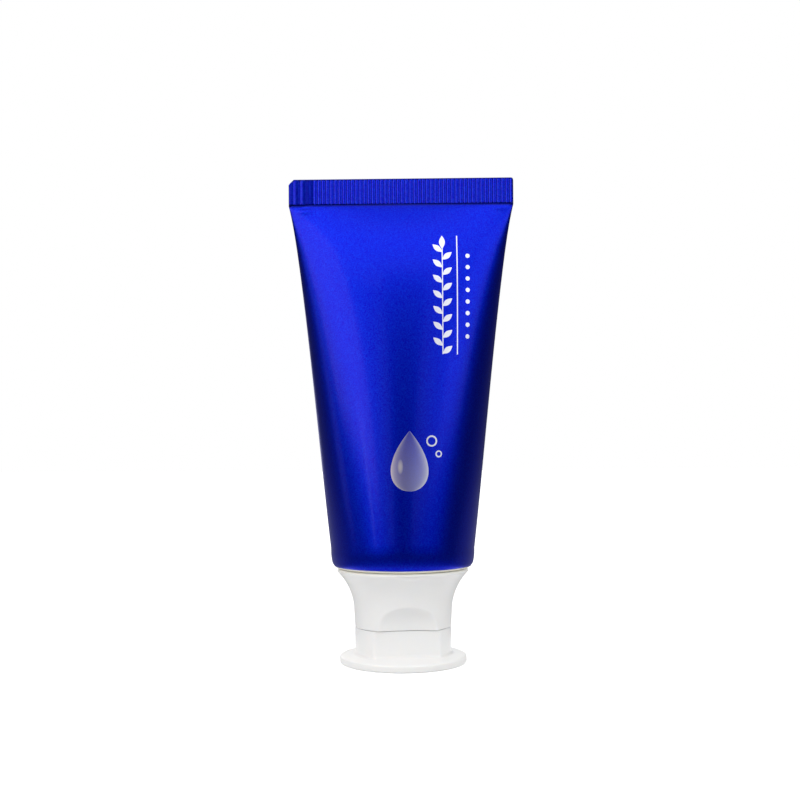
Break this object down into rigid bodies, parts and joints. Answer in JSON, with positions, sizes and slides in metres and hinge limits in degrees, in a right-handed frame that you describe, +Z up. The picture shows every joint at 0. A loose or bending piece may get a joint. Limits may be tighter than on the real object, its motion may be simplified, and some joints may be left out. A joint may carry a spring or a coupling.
{
  "type": "toothpaste tube",
  "caption": "Squeezable laminate tube with a crimped end seal, standing on a flared screw cap with a flip-top lid",
  "frame": {"origin": "on the floor under the foot of the lid, on the tube's axis", "axes": "+X runs along the end seal, -Y is the front with the lid's flat face and thumb recess, +Z is up from the cap to the end seal"},
  "size_m": [0.055, 0.035, 0.118],
  "materials": {
    "laminate": "satin metallic",
    "shoulder_plastic": "matte",
    "paste": "wet",
    "cap_plastic": "semi-gloss"
  },
  "bodies": {
    "cap": {"cap_base": "cap_plastic", "hinge_film": "cap_plastic"},
    "tube": {"tube_sleeve": "laminate", "shoulder_neck": "shoulder_plastic", "toothpaste_fill": "paste"},
    "lid": {"flip_lid": "cap_plastic"}
  },
  "joints": [
    {"name": "lid_hinge", "type": "hinge", "parent": "cap", "child": "lid", "pos_m": [-0.00146, 0.01065, 0.00883], "axis": [0.9907, 0.1357, 0], "range_deg": [0, 120], "deforming": ["hinge_film"]},
    {"name": "tube_lift_off", "type": "slide", "parent": "cap", "child": "tube", "axis": [0, 0, 1], "range_m": [0, 0.016]}
  ]
}
